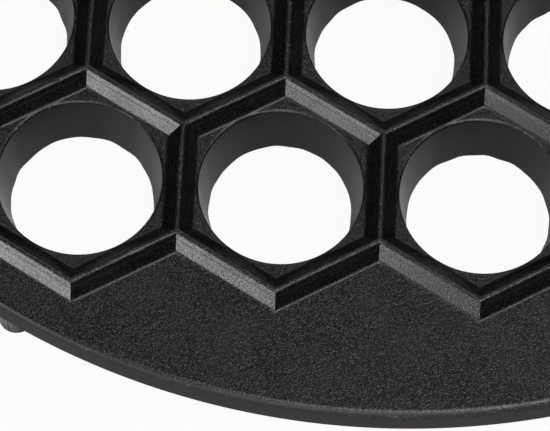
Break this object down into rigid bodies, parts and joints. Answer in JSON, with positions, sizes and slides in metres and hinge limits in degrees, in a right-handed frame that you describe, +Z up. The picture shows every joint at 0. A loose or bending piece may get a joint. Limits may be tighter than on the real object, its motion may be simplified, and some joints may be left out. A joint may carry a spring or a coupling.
{
  "type": "dumpling mold",
  "caption": "Round cast plate with a honeycomb of sloping ribs and a tapered round hole in each cell, standing on short feet under its rim.",
  "frame": {"origin": "middle of the plate, on the surface that its feet stand on", "axes": "+Z up out of the cells along the holes; the middle row of seven cells lies along X"},
  "size_m": [0.257, 0.257, 0.0225],
  "materials": {
    "coating": "black non-stick coating on cast aluminium: satin, with a fine raised grain on the flat faces and a smoother turned rim"
  },
  "bodies": {
    "root": {"dumpling_mold": "coating"}
  },
  "joints": []
}
